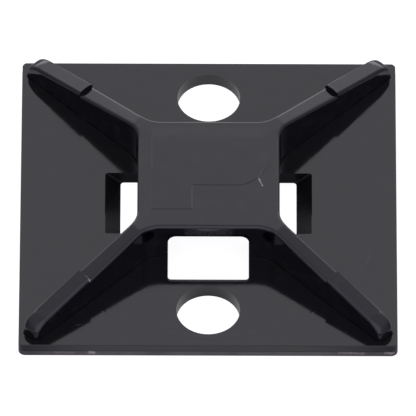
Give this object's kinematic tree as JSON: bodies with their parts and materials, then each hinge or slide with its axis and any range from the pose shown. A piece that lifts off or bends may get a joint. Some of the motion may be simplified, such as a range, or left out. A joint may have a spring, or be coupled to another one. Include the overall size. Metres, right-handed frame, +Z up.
{
  "type": "cable tie mount",
  "caption": "Square screw-down base with a raised bridge on diagonal legs, holding a cable tie from either direction.",
  "frame": {"origin": "centre of the square base's flat underside", "axes": "+Z up from the surface it is screwed to, through the bridge; Y through the centres of the screw holes; X the other tie direction"},
  "size_m": [0.028, 0.028, 0.0045],
  "materials": {
    "black_nylon": "semi-gloss moulded black nylon"
  },
  "bodies": {
    "root": {"mount_body": "black_nylon"}
  },
  "joints": []
}
